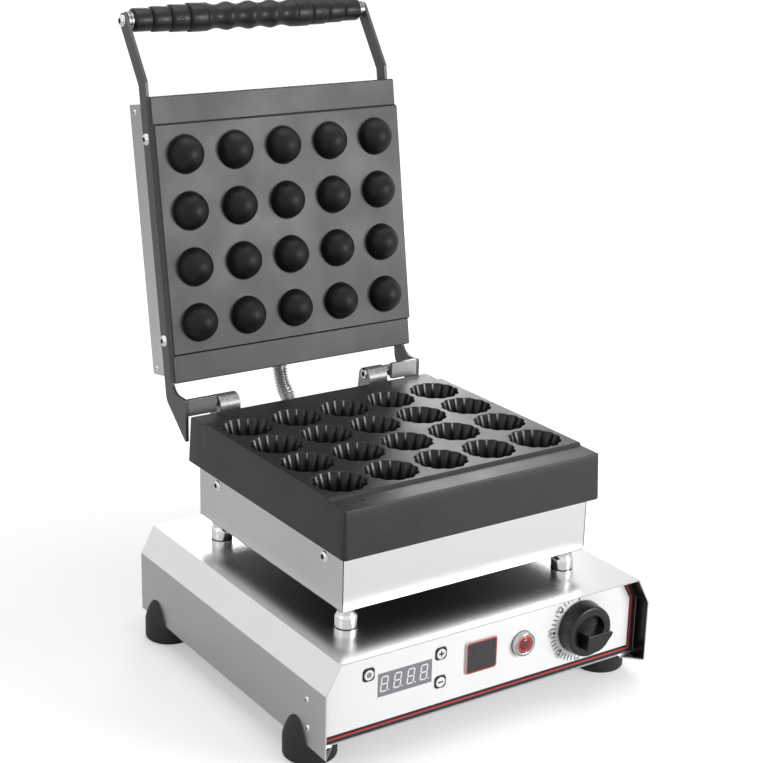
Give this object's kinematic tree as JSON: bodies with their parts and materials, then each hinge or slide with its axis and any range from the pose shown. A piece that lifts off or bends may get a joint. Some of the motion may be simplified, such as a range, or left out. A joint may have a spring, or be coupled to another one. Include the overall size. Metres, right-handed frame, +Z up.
{
  "type": "tartlet shell maker",
  "caption": "Countertop tartlet shell maker: fluted cup plate on a control base, domed lid plate hinged at the rear with a cross handle.",
  "frame": {"origin": "centre of the bounding box's lowest rectangle, on the surface the feet stand on, lid open", "axes": "+X to the right as seen from the controls, -Y out of the control panel, +Z up"},
  "size_m": [0.3338, 0.4152, 0.5326],
  "materials": {
    "stainless_sheet": "fine brushed, bright",
    "printed_overlay": "printed polyester film",
    "coated_casting": "dark speckled non-stick coating",
    "cast_aluminium": "as cast, blasted",
    "plated_steel": "polished plate",
    "painted_arm": "dark textured paint",
    "black_grip": "satin moulded phenolic",
    "rubber_foot": "matte",
    "dark_steel": "heat-dulled",
    "board": "mineral fibre board",
    "electrical_plastic": "moulded and laminated",
    "display_face": "grey filter over light segments",
    "key_plastic": "printed",
    "lamp_red": "translucent red"
  },
  "bodies": {
    "base": {"base_cover": "stainless_sheet", "front_panel": "stainless_sheet", "rear_panel": "stainless_sheet", "bottom_plate": "stainless_sheet", "lower_housing": "stainless_sheet", "lower_clamp": "stainless_sheet", "fascia_overlay": "printed_overlay", "lower_plate": "coated_casting", "hinge_lug_left": "cast_aluminium", "hinge_lug_right": "cast_aluminium", "spacer_front_left": "plated_steel", "spacer_front_right": "plated_steel", "spacer_rear_left": "plated_steel", "spacer_rear_right": "plated_steel", "conduit": "plated_steel", "conduit_gland_lower": "plated_steel", "lamp_bezel": "plated_steel", "cord_gland": "black_grip", "foot_front_left": "rubber_foot", "foot_front_right": "rubber_foot", "foot_rear_left": "rubber_foot", "foot_rear_right": "rubber_foot", "lower_heater": "dark_steel", "lower_insulation": "board", "control_board": "electrical_plastic", "terminal_block": "electrical_plastic", "thermostat_body": "electrical_plastic", "display_module": "display_face", "lamp_lens": "lamp_red"},
    "lid": {"lid_housing": "stainless_sheet", "upper_clamp": "stainless_sheet", "upper_plate": "coated_casting", "pivot_block_left": "plated_steel", "pivot_block_right": "plated_steel", "hinge_bolt_left": "plated_steel", "hinge_bolt_right": "plated_steel", "arm_screw_lower_left": "plated_steel", "arm_screw_lower_right": "plated_steel", "arm_screw_upper_left": "plated_steel", "arm_screw_upper_right": "plated_steel", "handle_screw_left": "plated_steel", "handle_screw_right": "plated_steel", "handle_spacer_left": "plated_steel", "handle_spacer_right": "plated_steel", "handle_rod": "plated_steel", "conduit_gland_upper": "plated_steel", "lid_arm_left": "painted_arm", "lid_arm_right": "painted_arm", "handle_grip": "black_grip", "upper_heater": "dark_steel", "upper_insulation": "board"},
    "knob": {"thermostat_knob": "black_grip", "thermostat_shaft": "plated_steel"},
    "function_key": {"function_button": "key_plastic"},
    "plus_key": {"plus_button": "key_plastic"},
    "minus_key": {"minus_button": "key_plastic"}
  },
  "joints": [
    {"name": "lid_hinge", "type": "hinge", "parent": "base", "child": "lid", "pos_m": [0, 0.09896, 0.2019], "axis": [1, 0, 0], "range_deg": [0, 99], "deforming": ["conduit"]},
    {"name": "thermostat_turn", "type": "hinge", "parent": "base", "child": "knob", "pos_m": [0.0962, -0.18544, 0.0595], "axis": [0, 1, 0], "range_deg": [0, 270]},
    {"name": "function_press", "type": "slide", "parent": "base", "child": "function_key", "axis": [0, 1, 0], "range_m": [0, 0.0005], "stiffness_N_per_m": 600},
    {"name": "plus_press", "type": "slide", "parent": "base", "child": "plus_key", "axis": [0, 1, 0], "range_m": [0, 0.0005], "stiffness_N_per_m": 600},
    {"name": "minus_press", "type": "slide", "parent": "base", "child": "minus_key", "axis": [0, 1, 0], "range_m": [0, 0.0005], "stiffness_N_per_m": 600}
  ]
}
